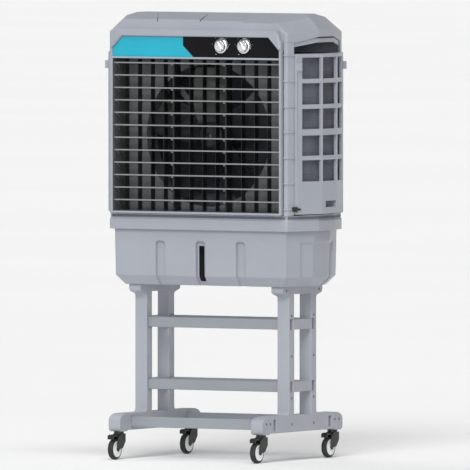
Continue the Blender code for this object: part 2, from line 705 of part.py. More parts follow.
def water_pump():
    """The submersible pump on the tank's floor, with its outlet pipe."""
    at = (235 * MM, 60 * MM, TANK_BOTTOM + TANK_WALL + GAP)
    body = [(0, 42), (12, 42), (16, 34), (70, 34), (78, 28)]
    rings = [[(x, y, z * MM) for x, y in circle(radius * MM, 24)] for z, radius in body]
    obj = finish_object("water_pump", loft(bmesh.new(), rings), finishes["black"], at, smooth=True)
    pipe = prism(bmesh.new(), circle(8 * MM, 12), 70 * MM, 225 * MM, "Z")
    boolean(obj, helper("pump_pipe", pipe, at), "UNION")
    return obj


def build():
    for obj in list(bpy.data.objects):
        bpy.data.objects.remove(obj, do_unlink=True)
    side_frame("side_frame_left", -1)
    side_frame("side_frame_right", 1)
    for name, z, y in bar_centres():
        crossbar(name, z, y)
    for place, (side, end) in CORNERS.items():
        x, y = side * SWIVEL_X, end * SWIVEL_Y
        caster_fork("caster_fork_" + place, x, y)
        caster_wheel("caster_wheel_" + place, x, y)
        caster_brake("caster_brake_" + place, x, y)
    water_tank()
    main_housing()
    top_cover()
    front_frame()
    control_panel()
    for name, x in KNOB_X.items():
        knob(name, x)
    slats()
    vanes()
    fan_shroud()
    fan()
    fan_motor()
    side_grille("side_grille_left", -1)
    side_grille("side_grille_right", 1)
    pads()
    water_pump()


finishes = {
    "shell": material("shell", (0.42, 0.44, 0.48), 0.45),
    "louvre": material("louvre", (0.40, 0.41, 0.42), 0.45),
    "black": material("black", (0.015, 0.016, 0.016), 0.5),
    "gloss_black": material("gloss_black", (0.01, 0.01, 0.01), 0.2),
    "dark": material("dark", (0.07, 0.07, 0.08), 0.6),
    "tyre": material("tyre", (0.02, 0.02, 0.02), 0.7),
    "silver": material("silver", (0.7, 0.7, 0.7), 0.25, 0.9),
    "motor": material("motor", (0.2, 0.2, 0.21), 0.4, 0.6),
    "pad": material("pad", (0.08, 0.08, 0.09), 0.9),
    "helper": material("helper", (1, 0, 1), 1.0),
}

build()
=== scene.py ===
"""The looks of a large evaporative cooler: moulded shells, louvres, pads, knobs and casters."""

import json
import math

import bmesh
import bpy
from mathutils import Matrix, Vector

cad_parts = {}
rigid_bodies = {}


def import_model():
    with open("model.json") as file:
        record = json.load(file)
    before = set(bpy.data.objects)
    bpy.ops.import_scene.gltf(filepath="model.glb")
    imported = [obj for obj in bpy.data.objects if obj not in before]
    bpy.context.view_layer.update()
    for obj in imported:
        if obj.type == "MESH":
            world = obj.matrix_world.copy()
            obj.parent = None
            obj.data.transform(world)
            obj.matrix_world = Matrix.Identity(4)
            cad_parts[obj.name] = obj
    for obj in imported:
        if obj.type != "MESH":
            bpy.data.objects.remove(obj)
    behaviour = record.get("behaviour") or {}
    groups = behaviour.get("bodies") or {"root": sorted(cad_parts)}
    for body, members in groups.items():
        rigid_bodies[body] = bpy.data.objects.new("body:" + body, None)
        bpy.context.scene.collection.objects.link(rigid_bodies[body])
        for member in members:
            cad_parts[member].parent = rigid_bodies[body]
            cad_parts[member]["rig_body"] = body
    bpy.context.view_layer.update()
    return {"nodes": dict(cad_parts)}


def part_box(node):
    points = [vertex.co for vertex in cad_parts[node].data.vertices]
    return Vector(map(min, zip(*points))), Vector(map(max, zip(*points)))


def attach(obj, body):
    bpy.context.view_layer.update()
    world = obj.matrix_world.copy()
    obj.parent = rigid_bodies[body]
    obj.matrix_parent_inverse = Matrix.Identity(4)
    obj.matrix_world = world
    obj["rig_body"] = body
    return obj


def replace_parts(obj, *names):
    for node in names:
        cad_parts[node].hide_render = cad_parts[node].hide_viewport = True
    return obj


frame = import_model()

MM = 0.001
NODES = frame["nodes"]
BODY = "cooler_body"
CORNERS = ("front_left", "front_right", "rear_left", "rear_right")
MIDDLE_Y = (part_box("main_housing")[0].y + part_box("main_housing")[1].y) / 2

# Where the camera looks from, in degrees round the cooler and above the floor, and how far off it stands
CAMERA_TURN = 30
CAMERA_RISE = 2.0
CAMERA_AWAY = 66
CAMERA_LENS = 1409
CAMERA_AIM = (0.0385, 0.0, 0.8025)

# Studio light. Each sun has a turn and a rise in degrees, a spread in degrees and a strength
WORLD_LIGHT = 0.24
HORIZON_LIGHT = 0.84
KEY_TURN = 18
KEY_RISE = 32
KEY_SPREAD = 25
KEY_LIGHT = 1.6
TOP_TURN = 40
TOP_RISE = 65
TOP_SPREAD = 30
TOP_LIGHT = 1.15
FILL_TURN = 28
FILL_RISE = 4
FILL_SPREAD = 12
FILL_LIGHT = 0.42
BACK_TURN = 245
BACK_RISE = 45
BACK_SPREAD = 40
BACK_LIGHT = 0.5

FLOOR_REACH = 400.0
FLOOR_DROP = 0.5 * MM


# ---- materials ----


def node_tree(name):
    made = bpy.data.materials.new(name)
    made.use_nodes = True
    tree = made.node_tree
    return made, tree, tree.nodes["Principled BSDF"]


def noise(tree, scale, detail=3.0, roughness=0.5):
    """A noise texture in the object's own coordinates, so that it stays on the piece as it moves."""
    place = tree.nodes.new("ShaderNodeTexCoord")
    made = tree.nodes.new("ShaderNodeTexNoise")
    made.inputs["Scale"].default_value = scale
    made.inputs["Detail"].default_value = detail
    made.inputs["Roughness"].default_value = roughness
    tree.links.new(place.outputs["Object"], made.inputs["Vector"])
    return made


def ramp(tree, source, low, high, first=0.35, last=0.65):
    made = tree.nodes.new("ShaderNodeValToRGB")
    made.color_ramp.elements[0].position = first
    made.color_ramp.elements[1].position = last
    made.color_ramp.elements[0].color = (*low, 1)
    made.color_ramp.elements[1].color = (*high, 1)
    tree.links.new(source, made.inputs["Fac"])
    return made.outputs["Color"]


def scaled(colour, factor):
    return tuple(min(1.0, part * factor) for part in colour)


def add_bump(tree, shader, height, strength, distance):
    bump = tree.nodes.new("ShaderNodeBump")
    bump.inputs["Strength"].default_value = strength
    bump.inputs["Distance"].default_value = distance
    tree.links.new(height, bump.inputs["Height"])
    tree.links.new(bump.outputs["Normal"], shader.inputs["Normal"])


def plastic(name, colour, roughness, spread=0.05, grain=900, depth=0.25, coat=0.0, shine=0.5):
    """Moulded plastic: faint cloudy colour, uneven sheen, and the fine spark-eroded grain of the mould."""
    made, tree, shader = node_tree(name)
    cloud = noise(tree, 5.0, 4.0)
    tree.links.new(
        ramp(tree, cloud.outputs["Fac"], scaled(colour, 1 - spread), scaled(colour, 1 + spread)),
        shader.inputs["Base Color"],
    )
    smudge = noise(tree, 18.0, 5.0)
    tree.links.new(
        ramp(tree, smudge.outputs["Fac"], (roughness - 0.06,) * 3, (roughness + 0.06,) * 3),
        shader.inputs["Roughness"],
    )
    fine = noise(tree, grain, 2.0)
    add_bump(tree, shader, fine.outputs["Fac"], depth, 0.15 * MM)
    shader.inputs["Specular IOR Level"].default_value = shine
    shader.inputs["Coat Weight"].default_value = coat
    shader.inputs["Coat Roughness"].default_value = 0.08
    return made


def metal(name, colour, roughness, grain=300):
    made, tree, shader = node_tree(name)
    shader.inputs["Metallic"].default_value = 1.0
    streak = noise(tree, grain, 2.0)
    tree.links.new(
        ramp(tree, streak.outputs["Fac"], scaled(colour, 0.85), colour),
        shader.inputs["Base Color"],
    )
    tree.links.new(
        ramp(tree, streak.outputs["Fac"], (roughness * 0.7,) * 3, (roughness * 1.3,) * 3),
        shader.inputs["Roughness"],
    )
    return made


def corrugated(name, colour):
    """Cooling-pad paper: dark, matt, mottled by damp, with fine level flutes that waver a little."""
    made, tree, shader = node_tree(name)
    damp = noise(tree, 9.0, 6.0)
    tree.links.new(
        ramp(tree, damp.outputs["Fac"], scaled(colour, 0.8), scaled(colour, 1.25)),
        shader.inputs["Base Color"],
    )
    shader.inputs["Roughness"].default_value = 0.9
    place = tree.nodes.new("ShaderNodeTexCoord")
    wave = tree.nodes.new("ShaderNodeTexWave")
    wave.bands_direction = "Z"
    wave.inputs["Scale"].default_value = 60.0
    wave.inputs["Distortion"].default_value = 1.5
    tree.links.new(place.outputs["Object"], wave.inputs["Vector"])
    add_bump(tree, shader, wave.outputs["Fac"], 0.5, 1.0 * MM)
    return made


def rubber(name, colour):
    made, tree, shader = node_tree(name)
    dust = noise(tree, 40.0, 6.0)
    tree.links.new(
        ramp(tree, dust.outputs["Fac"], colour, scaled(colour, 2.2), 0.45, 0.75),
        shader.inputs["Base Color"],
    )
    shader.inputs["Roughness"].default_value = 0.62
    fine = noise(tree, 700.0, 3.0)
    add_bump(tree, shader, fine.outputs["Fac"], 0.35, 0.2 * MM)
    return made


SHELL = plastic("shell_plastic", (0.312, 0.330, 0.374), 0.42, 0.03, coat=0.1)
STAND = plastic("stand_plastic", (0.335, 0.352, 0.394), 0.46, 0.03, coat=0.08)
BAR = plastic("crossbar_plastic", (0.265, 0.283, 0.312), 0.46, 0.03, coat=0.08)
# Painted shade: a dark strip laid in the groove at the housing's waist, where there is only shade
GROOVE_SHADE = plastic("groove_painted_shade", (0.12, 0.125, 0.14), 0.8, 0.1)
SLAT = plastic("slat_plastic", (0.225, 0.23, 0.237), 0.42, 0.04)
BLACK = plastic("black_plastic", (0.012, 0.013, 0.013), 0.42, 0.25)
DARK = plastic("dark_plastic", (0.15, 0.153, 0.16), 0.55, 0.1)
# Painted shade: a dark sheet laid on the duct's side walls, which are the shell's own plastic in shade
DUCT_SHADE = plastic("duct_painted_shade", (0.10, 0.103, 0.107), 0.5, 0.1)
# Painted shade: the screws are coloured dark for the shade in their sockets
SOCKET_SHADE = plastic("screw_socket_painted_shade", (0.05, 0.052, 0.055), 0.5, 0.1)
FAN = plastic("fan_plastic", (0.02, 0.021, 0.023), 0.45, 0.2)
GLOSS = plastic("fascia_black", (0.006, 0.006, 0.007), 0.14, 0.1, 200, 0.03, shine=0.1)
CYAN = plastic("fascia_cyan", (0.021, 0.375, 0.50), 0.2, 0.06, 200, 0.03, shine=0.2)
SILVER = metal("silver_plastic", (0.86, 0.86, 0.87), 0.27)
MOTOR = metal("motor_paint", (0.16, 0.17, 0.18), 0.45, 120)
TYRE = rubber("tyre_rubber", (0.012, 0.012, 0.013))
HUB = plastic("hub_nylon", (0.85, 0.86, 0.87), 0.35, 0.05)
PAD = corrugated("pad_paper", (0.088, 0.094, 0.114))
WHITE = plastic("print_white", (0.75, 0.76, 0.76), 0.4, 0.02)


# ---- mesh helpers ----

# An edge that turns by more degrees than this is rounded
EDGE_ANGLE = 12


def piece(name, bm, finish, body=BODY, smooth=40):
    """A new visual piece made of this bmesh, in the row frame, riding on a body."""
    bmesh.ops.recalc_face_normals(bm, faces=bm.faces[:])
    mesh = bpy.data.meshes.new(name)
    bm.to_mesh(mesh)
    bm.free()
    mesh.materials.append(finish)
    if smooth:
        mesh.shade_smooth()
        mesh.set_sharp_from_angle(angle=math.radians(smooth))
    obj = bpy.data.objects.new(name, mesh)
    bpy.context.scene.collection.objects.link(obj)
    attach(obj, body)
    return obj


def softened(name, width, finish, segments=3):
    """The CAD node again, its edges rounded as a moulding's are, with its flat faces left flat."""
    source = NODES[name]
    bm = bmesh.new()
    bm.from_mesh(source.data)
    bmesh.ops.remove_doubles(bm, verts=bm.verts[:], dist=0.02 * MM)
    bmesh.ops.join_triangles(
        bm, faces=bm.faces[:], angle_face_threshold=math.radians(0.2), angle_shape_threshold=math.pi,
    )
    made = piece(name + "_moulding", bm, finish, source["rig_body"], smooth=0)
    made.data.shade_smooth()
    bevel = made.modifiers.new("edges", "BEVEL")
    bevel.width = width
    bevel.segments = segments
    bevel.limit_method = "ANGLE"
    bevel.angle_limit = math.radians(EDGE_ANGLE)
    bevel.use_clamp_overlap = False
    shading = made.modifiers.new("shading", "WEIGHTED_NORMAL")
    shading.weight = 50
    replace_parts(made, name)
    return made


def ring_loft(bm, rings, closed=True):
    """Skins rings of equal length, and caps both ends if the form is closed."""
    made = [[bm.verts.new(point) for point in ring] for ring in rings]
    count = len(made[0])
    for low, high in zip(made, made[1:]):
        for i in range(count):
            bm.faces.new((low[i], low[(i + 1) % count], high[(i + 1) % count], high[i]))
    if closed:
        bm.faces.new(made[0])
        bm.faces.new(made[-1][::-1])
    return bm


def lathe(bm, centre, axis, profile, count=40):
    """Turns a profile of (along the axis, radius) pairs about an axis through the centre."""
    turn = Vector((0, 0, 1)).rotation_difference(Vector(axis)).to_matrix()
    rings = []
    for along, radius in profile:
        ring = []
        for i in range(count):
            angle = 2 * math.pi * i / count
            flat = Vector((radius * math.cos(angle), radius * math.sin(angle), along))
            ring.append(Vector(centre) + turn @ flat)
        rings.append(ring)
    return ring_loft(bm, rings)


def slab(bm, outline, low, high, axis="Y"):
    """A prism of an outline between two levels of an axis. Its numbers are the other two axes, in order."""
    order = {"X": (2, 0, 1), "Y": (0, 2, 1), "Z": (0, 1, 2)}[axis]
    rings = []
    for level in (low, high):
        rings.append([tuple((*point, level)[i] for i in order) for point in outline])
    return ring_loft(bm, rings)


def round_corners(bm, width, segments=2):
    bmesh.ops.bevel(
        bm, geom=bm.edges[:], offset=width, offset_type="OFFSET", segments=segments,
        profile=0.5, affect="EDGES", clamp_overlap=True,
    )
    return bm


# ---- shells ----


def shells():
    for name in ("main_housing", "front_frame", "side_grille_left", "side_grille_right"):
        softened(name, 1.2 * MM, SHELL)
    softened("top_cover", 0.9 * MM, SHELL, segments=2)
    softened("water_tank", 1.8 * MM, SHELL)
    for name in ("side_frame_left", "side_frame_right"):
        softened(name, 2.5 * MM, STAND)
    for level in ("upper", "middle", "lower"):
        give([f"{level}_crossbar_front", f"{level}_crossbar_rear"], BAR)


# Corners of the housing's plan at its waist, in millimetres from its middle
WAIST_CORNERS = ((360, 199), (369, 193), (417, 56.4))
WAIST_LOW = 868.5 * MM
WAIST_HIGH = 877.5 * MM
WAIST_FACE = 3 * MM
WAIST_BACK = 8 * MM
CORNER_SHARE = 0.71


def waist_plan(inset):
    """The housing's plan at its waist, moved inwards by an inset."""
    right = []
    for x, y in WAIST_CORNERS:
        right.append((x * MM - CORNER_SHARE * inset, y * MM - inset))
    right += [(x, -y) for x, y in reversed(right)]
    return right + [(-x, -y) for x, y in right]


def waist_shade_strip():
    """A dark strip in the groove between the housing and the band below it: painted shade, since the groove
    is only in shade.
    """
    section = (
        (WAIST_BACK, WAIST_LOW),
        (WAIST_FACE, WAIST_LOW),
        (WAIST_FACE, WAIST_HIGH),
        (WAIST_BACK, WAIST_HIGH),
    )
    rings = []
    for inset, z in section:
        rings.append([(x, MIDDLE_Y + y, z) for x, y in waist_plan(inset)])
    strip = ring_loft(bmesh.new(), rings + rings[:1], closed=False)
    piece("waist_shade_strip", strip, GROOVE_SHADE, smooth=0)


# Each place on the roof's front pitch as its distance from the middle and its height
ROOF_EAVE = (184 * MM, 1568 * MM)
ROOF_TOP = (40 * MM, 1599.7 * MM)
ROOF_SINK = 1.5 * MM
FIELD_LEAN = 15 / 27


def roof_wedge(name, eave_x, top_x, height, bevel):
    """A raised field on both pitches of the roof, which fades out at the flat top and has a bevelled end."""
    low, high = eave_x
    top_low, top_high = top_x
    top_y, top_z = ROOF_TOP
    for end, place in ((-1, "front"), (1, "rear")):
        rows = []
        for extra, lift, sink in ((bevel, 0, ROOF_SINK), (0, height, 0)):
            y, z = ROOF_EAVE[0] - lift * FIELD_LEAN, ROOF_EAVE[1] + lift
            rows.append([
                (low, y, z - sink),
                (high + extra, y, z - sink),
                (top_high + extra, top_y, top_z - 2 * sink),
                (top_low, top_y, top_z - 2 * sink),
            ])
        turned = [[(-end * x, MIDDLE_Y + end * y, z) for x, y, z in ring] for ring in rows]
        wedge = round_corners(ring_loft(bmesh.new(), turned), 0.5 * MM, 1)
        piece(f"roof_{name}_{place}", wedge, SHELL, smooth=0)


def roof():
    """Three fields from left to right, the last one lower, and an end rib, as seen from each side."""
    roof_wedge("field_1", (-318 * MM, -180 * MM), (-340 * MM, -256 * MM), 10 * MM, 1 * MM)
    roof_wedge("field_2", (-176 * MM, -4 * MM), (-252 * MM, -45 * MM), 10 * MM, 4 * MM)
    roof_wedge("field_3", (0.5 * MM, 170 * MM), (-40.5 * MM, 168 * MM), 6 * MM, 18 * MM)
    roof_wedge("end_rib", (308 * MM, 314 * MM), (326 * MM, 331 * MM), 4 * MM, 12 * MM)


# ---- front: panel, knobs, louvres ----

PANEL_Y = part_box("control_panel")[0].y
PANEL_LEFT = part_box("control_panel")[0].x
PANEL_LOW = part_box("control_panel")[0].z
PANEL_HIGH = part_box("control_panel")[1].z
CYAN_TOP_X = -54 * MM
CYAN_LOW_X = -11 * MM
CYAN_BEND = 32 * MM
PANEL_CORNER = 42 * MM
TICK_R = 36 * MM
POINTER_TURN = -35
SLAT_COUNT = 12

# The two stays, and the inside of the duct
STAY_X = 108 * MM
STAY_FRONT = 187.3 * MM
STRIP_HALF = 3.4 * MM
STRIP_DEEP = 19 * MM
DUCT_LOW = 890.5 * MM
DUCT_HIGH = 1437.5 * MM
# Where the painted-shade sheets stand on the duct's side walls, and their gap
DUCT_SHADE_OUTER = 343.95 * MM
DUCT_SHADE_INNER = 343.6 * MM
DUCT_SHADE_GAP = 0.2 * MM


def cyan_field():
    """The left part of the fascia: an upright edge below the top, then a slant down to the bottom."""
    bend = PANEL_HIGH - CYAN_BEND
    outline = [(PANEL_LEFT, PANEL_LOW), (CYAN_LOW_X, PANEL_LOW), (CYAN_TOP_X, bend), (CYAN_TOP_X, PANEL_HIGH)]
    outline += [(PANEL_LEFT + PANEL_CORNER, PANEL_HIGH), (PANEL_LEFT, PANEL_HIGH - PANEL_CORNER)]
    bm = slab(bmesh.new(), outline, PANEL_Y - 0.6 * MM, PANEL_Y - 0.05 * MM)
    piece("fascia_cyan_field", bm, CYAN, smooth=0)


def knob(name):
    """A fluted skirt, a coned face and a raised grip, with a dark line down the grip."""
    low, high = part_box(name)
    centre = Vector(((low.x + high.x) / 2, PANEL_Y, (low.z + high.z) / 2))
    flutes, count = 20, 120
    rings = []
    profile = ((-1.2, 25.6, 0.0), (-3.5, 25.8, 0.0), (-5.0, 24.0, 0.0), (-6.0, 21.6, 0.8), (-13.0, 19.6, 0.8))
    for depth, radius, flute in profile + ((-15.0, 17.5, 0.3), (-15.6, 12.0, 0.0)):
        ring = []
        for i in range(count):
            angle = 2 * math.pi * i / count
            r = (radius + flute * math.cos(flutes * angle)) * MM
            x, z = centre.x + r * math.cos(angle), centre.z + r * math.sin(angle)
            ring.append((x, centre.y + depth * MM, z))
        rings.append(ring)
    body = piece(name + "_cap", ring_loft(bmesh.new(), rings), SILVER, name, smooth=30)
    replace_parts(body, name)
    turn = Matrix.Translation(centre) @ Matrix.Rotation(math.radians(POINTER_TURN), 4, "Y")
    grip = round_corners(slab(bmesh.new(), arc_bar(19 * MM, 4.2 * MM), -20.0 * MM, -15.2 * MM), 0.8 * MM)
    grip.transform(turn)
    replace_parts(piece(name + "_grip", grip, SILVER, name), name)
    half, inner, outer = 0.7 * MM, 4 * MM, 18 * MM
    mark = [(-half, inner), (half, inner), (half, outer), (-half, outer)]
    line = slab(bmesh.new(), mark, -20.3 * MM, -19.9 * MM)
    line.transform(turn)
    piece(name + "_pointer", line, BLACK, name, smooth=0)
    scale_marks(name, centre)


def arc_bar(half_length, half_width):
    """A bar's outline with round ends, standing upright."""
    outline = []
    for end in (1, -1):
        for i in range(9):
            angle = math.radians(-90 + 180 * i / 8)
            x = half_width * math.sin(angle)
            z = half_length - half_width + half_width * math.cos(angle)
            outline.append((end * x, end * z))
    return outline


def scale_marks(name, centre):
    """A bright arc beside the knob and a row of plain dots outside it."""
    outline = []
    for radius, turns in ((28.2 * MM, range(-20, 101, 6)), (29.4 * MM, range(100, -21, -6))):
        for turn in turns:
            angle = math.radians(turn)
            outline.append((centre.x + radius * math.cos(angle), centre.z + radius * math.sin(angle)))
    arc = slab(bmesh.new(), outline, PANEL_Y - 0.8 * MM, PANEL_Y - 0.05 * MM)
    piece(name + "_arc", arc, SILVER, smooth=0)
    for i, turn in enumerate((10, 50, 90, 130, 170, 235)):
        angle = math.radians(turn)
        at = (centre.x + TICK_R * math.cos(angle), PANEL_Y - 0.05 * MM, centre.z + TICK_R * math.sin(angle))
        size = 1.6 if turn == 235 else 0.9
        dot = lathe(bmesh.new(), at, (0, -1, 0), ((0, size * MM), (0.4 * MM, size * 0.9 * MM)), 12)
        piece(f"{name}_mark_{i + 1}", dot, WHITE, smooth=0)


def slat_fittings():
    """Each slat's two link clips, and the lever on its left end."""
    for i in range(1, SLAT_COUNT + 1):
        name = f"slat_{i:02d}"
        low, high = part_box(name)
        y, z = (low.y + high.y) / 2, (low.z + high.z) / 2
        for side, place in ((-1, "left"), (1, "right")):
            x = side * STAY_X
            outline = [(y - 11 * MM, z - 1.5 * MM), (y - 10 * MM, z - 7 * MM), (y - 7 * MM, z - 9.5 * MM)]
            outline += [(y - 4.5 * MM, z - 8 * MM), (y - 5 * MM, z - 1 * MM)]
            clip = round_corners(slab(bmesh.new(), outline, x - 4 * MM, x + 4 * MM, "X"), 0.6 * MM)
            piece(f"{name}_clip_{place}", clip, SLAT, name)
        x = low.x + 3.2 * MM
        outline = [(y - 8 * MM, z - 1 * MM), (y + 4 * MM, z - 5 * MM), (y + 17 * MM, z - 17 * MM)]
        outline += [(y + 15 * MM, z - 19 * MM), (y + 1 * MM, z - 9 * MM), (y - 9 * MM, z - 4 * MM)]
        lever = slab(bmesh.new(), outline, x, x + 2 * MM, "X")
        piece(f"{name}_lever", lever, SLAT, name)


def stays():
    """Black strips over the two stays, just behind the slats' clips."""
    front = MIDDLE_Y - STAY_FRONT
    back = front + STRIP_DEEP
    for side, place in ((-1, "left"), (1, "right")):
        left, right = side * STAY_X - STRIP_HALF, side * STAY_X + STRIP_HALF
        outline = [(left, front), (right, front), (right, back), (left, back)]
        strip = slab(bmesh.new(), outline, DUCT_LOW, DUCT_HIGH, "Z")
        piece("link_strip_" + place, strip, BLACK, smooth=0)


def duct_painted_shades():
    """Thin dark sheets on the duct's two side walls: painted shade, darkening walls that are only in shade.
    """
    low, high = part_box("front_frame")
    front, back = low.y + 4 * MM, high.y - 1 * MM
    for side, place in ((-1, "left"), (1, "right")):
        outer, inner = side * DUCT_SHADE_OUTER, side * DUCT_SHADE_INNER
        outline = [(outer, front), (inner, front), (inner, back), (outer, back)]
        sheet = slab(bmesh.new(), outline, DUCT_LOW - DUCT_SHADE_GAP, DUCT_HIGH + DUCT_SHADE_GAP, "Z")
        piece("duct_painted_shade_" + place, sheet, DUCT_SHADE, smooth=0)


CHANNEL_PITCH = 166 * MM
CHANNEL_HALF = 20.4 * MM
CROWN_RADIUS = 14 * MM
CROWN_LOW = 771 * MM
CROWN_HIGH = 787 * MM
CROWN_FRONT = 182.7 * MM
CROWN_BACK = 168 * MM


def channel_crowns():
    """The webs that round the top corners of the tank's three channels."""
    straight = CHANNEL_HALF - CROWN_RADIUS
    for i in (-1, 0, 1):
        middle = i * CHANNEL_PITCH
        for side, place in ((-1, "left"), (1, "right")):
            outline = [(middle + side * CHANNEL_HALF, CROWN_HIGH)]
            for step in range(7):
                angle = math.radians(15 * step)
                across = straight + CROWN_RADIUS * math.cos(angle)
                outline.append((middle + side * across, CROWN_LOW + CROWN_RADIUS * math.sin(angle)))
            bm = slab(bmesh.new(), outline, MIDDLE_Y - CROWN_FRONT, MIDDLE_Y - CROWN_BACK)
            piece(f"channel_crown_{i + 2}_{place}", bm, SHELL, smooth=30)


BROW_TIP = 223 * MM
BROW_EDGE = 217.4 * MM
BROW_ROOT = 215.5 * MM


def front_brow():
    """The tilted lip over the fascia, which turns down past its two cut corners."""
    inner = ((346, 1474), (302.5, 1520.5), (-302.5, 1520.5), (-346, 1474))
    outer = ((351.5, 1488), (335, 1542.8), (-335, 1542.8), (-351.5, 1488))
    tip, edge, root = MIDDLE_Y - BROW_TIP, MIDDLE_Y - BROW_EDGE, MIDDLE_Y - BROW_ROOT
    rings = []
    for (in_x, in_z), (out_x, out_z) in zip(inner, outer):
        section = ((in_x, tip, in_z), (out_x, edge, out_z), (out_x, root, out_z), (in_x, root, in_z))
        rings.append([(x * MM, y, z * MM) for x, y, z in section])
    piece("front_brow", ring_loft(bmesh.new(), rings), SHELL, smooth=0)


RIB_COUNT = 7
RIB_LOW = 904 * MM
RIB_PITCH = 91.7 * MM
# The path of a rib round a front column, the point it bulges away from, and its rise, in millimetres
RIB_RISE = 1.6
RIB_CENTRE = (300, 120)
RIB_PLAN = ((353, 201.2), (361, 201.2), (367.5, 199.5), (370.5, 195), (382.5, 163.5))


def column_ribs():
    """The thin raised bands that run round the front columns."""
    for i in range(RIB_COUNT):
        z = RIB_LOW + i * RIB_PITCH
        for side, place in ((-1, "left"), (1, "right")):
            rings = []
            for x, y in RIB_PLAN:
                out = Vector((x - RIB_CENTRE[0], RIB_CENTRE[1] - y, 0)).normalized() * RIB_RISE
                far = Vector((side * (x + out.x), -y + out.y, 0))
                back = Vector((side * (x - 4 * out.x), -y - 4 * out.y, 0))
                section = ((back, -2.4), (far, -1.4), (far, 1.4), (back, 2.4))
                rings.append([(p.x * MM, MIDDLE_Y + p.y * MM, z + rise * MM) for p, rise in section])
            piece(f"column_rib_{place}_{i + 1}", ring_loft(bmesh.new(), rings), SHELL, smooth=0)


# ---- tank and sides ----


def level_window():
    """The dark strip in the tank's middle channel, which bends down over the chamfer."""
    floor = MIDDLE_Y - 170 * MM
    foot = floor + 12 * MM
    outline = [(floor + 2 * MM, 768 * MM), (floor - 3 * MM, 767 * MM), (floor - 2 * MM, 659 * MM)]
    outline += [(foot - 2 * MM, 641 * MM), (foot + 4 * MM, 642 * MM), (floor + 4 * MM, 660 * MM)]
    bm = slab(bmesh.new(), outline, -10 * MM, 10 * MM, "X")
    piece("level_window", round_corners(bm, 0.8 * MM), GLOSS)


def corrugated_slab(outline_at, low, high, pitch=6 * MM, depth=0.8 * MM):
    """A pad's closed outer shape whose faces fold in and out up its height."""
    steps = int((high - low) / pitch * 2)
    rings = []
    for i in range(steps + 1):
        z = low + (high - low) * i / steps
        inset = depth * (i % 2)
        rings.append([(x, y, z) for x, y in outline_at(inset)])
    return ring_loft(bmesh.new(), rings)


def side_pad(name, side):
    """Stands for a side pad: the same bow as its solid."""
    low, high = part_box(name)
    outer = high.x if side > 0 else -low.x
    corner_y, end_y = 51 * MM, 158 * MM
    end_x = outer - 37 * MM
    back_end_x, back_x = outer - 59 * MM, outer - 30 * MM

    def outline_at(inset):
        front = [(end_x - inset, -end_y), (outer - inset, -corner_y)]
        front += [(outer - inset, corner_y), (end_x - inset, end_y)]
        back = [(back_end_x, end_y), (back_x, corner_y), (back_x, -corner_y), (back_end_x, -end_y)]
        return [(side * x, MIDDLE_Y + y) for x, y in front + back]

    bm = corrugated_slab(outline_at, low.z, high.z)
    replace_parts(piece(name + "_paper", bm, PAD, smooth=0), name)


def rear_pad():
    """The pad just inside the rear windows, as high as the side pads."""
    low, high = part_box("pad_left")
    half, front = 338 * MM, MIDDLE_Y + 160 * MM

    def outline_at(inset):
        back = MIDDLE_Y + 186 * MM - inset
        return [(-half, front), (half, front), (half, back), (-half, back)]

    piece("pad_rear_paper", corrugated_slab(outline_at, low.z, high.z), PAD, smooth=0)


def turn_button(place, side, end):
    """The black button beside the foot of a side grille, whose arm holds the grille in."""
    out = Vector((side * 0.944, end * 0.33, 0)).normalized()
    along = Vector((side * 0.33, -end * 0.944, 0)).normalized()
    foot = Vector((side * 377.5 * MM, MIDDLE_Y + end * 170 * MM, 905 * MM))
    profile = [(0, 8.5 * MM), (9 * MM, 8.5 * MM), (13.2 * MM, 9.2 * MM)]
    profile += [(17 * MM, 9.0 * MM), (18.5 * MM, 6.5 * MM)]
    button = lathe(bmesh.new(), foot, out, profile, 32)
    piece("turn_button_" + place, button, BLACK)
    up = Vector((0, 0, 1))
    rings = []
    for reach, half in ((2, 4.0), (12, 3.6), (19, 3.0), (22, 1.8)):
        ring = []
        for lift, rise in ((13.4, -half), (13.4, half), (17.2, half), (17.2, -half)):
            ring.append(foot + along * reach * MM + out * lift * MM + up * rise * MM)
        rings.append(ring)
    arm = round_corners(ring_loft(bmesh.new(), rings), 0.7 * MM)
    piece(f"turn_button_{place}_arm", arm, BLACK)


# ---- stand ----


def screw(name, at, axis, radius=4.6 * MM):
    """A screw, as a low dome with a sunk middle, coloured dark as painted shade for the socket it sits in."""
    profile = ((-0.4 * MM, radius), (0.5 * MM, radius), (0.8 * MM, radius * 0.86), (0.8 * MM, radius * 0.5),
               (0.1 * MM, radius * 0.42))
    piece(name, lathe(bmesh.new(), at, axis, profile, 20), SOCKET_SHADE, smooth=30)


def stand_screws():
    """The screws in each side frame's outer face: four up each leg, and the others along its foot and cap."""
    for side, place in ((-1, "left"), (1, "right")):
        x = side * (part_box("side_frame_right")[1].x - 0.2 * MM)
        spots = []
        for y in (-79, 79):
            spots += [(y, 520), (y, 375), (y, 225), (y, 132)]
        for y in (-262, 262, -232, 232, -118, 118):
            spots.append((y, 139 if abs(y) > 200 else 611))
        for i, (y, z) in enumerate(spots):
            screw(f"stand_screw_{place}_{i + 1:02d}", (x, MIDDLE_Y + y * MM, z * MM), (side, 0, 0))


def casters():
    """Each wheel's two pale discs, and its fork and pedal with rounded edges."""
    profile = [(6.0 * MM, 27.4 * MM), (10.6 * MM, 28.4 * MM), (11.2 * MM, 27.2 * MM), (9.6 * MM, 24.6 * MM)]
    profile += [(8.6 * MM, 15.0 * MM), (10.4 * MM, 11.0 * MM), (10.6 * MM, 5.2 * MM)]
    for place in CORNERS:
        low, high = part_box("caster_wheel_" + place)
        centre = (low + high) / 2
        wheel = "wheel_" + place
        for side, face in ((-1, "left"), (1, "right")):
            disc = lathe(bmesh.new(), centre, (side, 0, 0), profile, 40)
            piece(f"hub_{place}_{face}", disc, HUB, wheel, smooth=40)
        softened("caster_fork_" + place, 0.8 * MM, BLACK, segments=2)
        brake(place)


